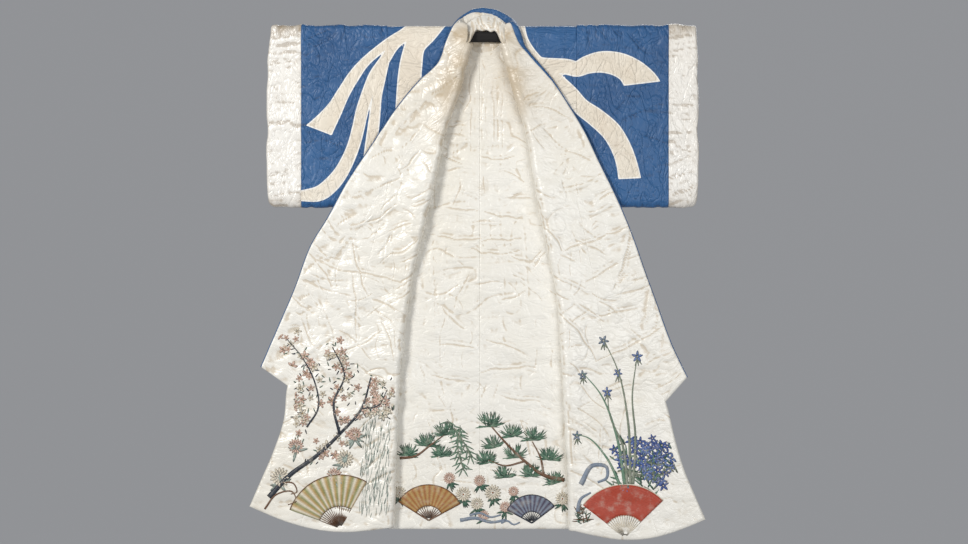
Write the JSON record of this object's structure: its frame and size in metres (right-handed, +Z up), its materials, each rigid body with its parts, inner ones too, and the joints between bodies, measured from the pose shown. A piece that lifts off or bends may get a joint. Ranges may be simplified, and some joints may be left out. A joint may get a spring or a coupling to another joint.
{
  "type": "padded kimono robe hung open on a slat",
  "caption": "Wadded silk robe in kimono form with wide open sleeves, hung on a straight black slat; both fronts are turned out like lapels so the pale satin lining shows.",
  "frame": {"origin": "middle of the slat that carries the robe, where a stand or wall hook holds it", "axes": "+Z up, -Y towards the open front, +X towards the wearer's left sleeve"},
  "size_m": [1.4486, 0.0779, 1.6846],
  "materials": {
    "blue_silk": "blue silk satin with cream ribbon pattern, soft sheen",
    "cream_satin": "cream silk satin, soft sheen",
    "ivory_lining": "ivory silk satin lining with a coloured flower border at the hem",
    "black_lacquer": "black lacquered wood, half gloss"
  },
  "bodies": {
    "root": {"slat": "black_lacquer", "back_left": "blue_silk", "back_lining_left": "ivory_lining", "front_left": "blue_silk", "front_lining_left": "ivory_lining", "overlap_left": "blue_silk", "overlap_lining_left": "ivory_lining", "collar_left": "blue_silk", "collar_lining_left": "ivory_lining", "sleeve_left": "blue_silk", "cuff_left": "cream_satin", "back_right": "blue_silk", "back_lining_right": "ivory_lining", "front_right": "blue_silk", "front_lining_right": "ivory_lining", "overlap_right": "blue_silk", "overlap_lining_right": "ivory_lining", "collar_right": "blue_silk", "collar_lining_right": "ivory_lining", "sleeve_right": "blue_silk", "cuff_right": "cream_satin", "collar_back": "blue_silk", "collar_lining_back": "ivory_lining"}
  },
  "joints": []
}
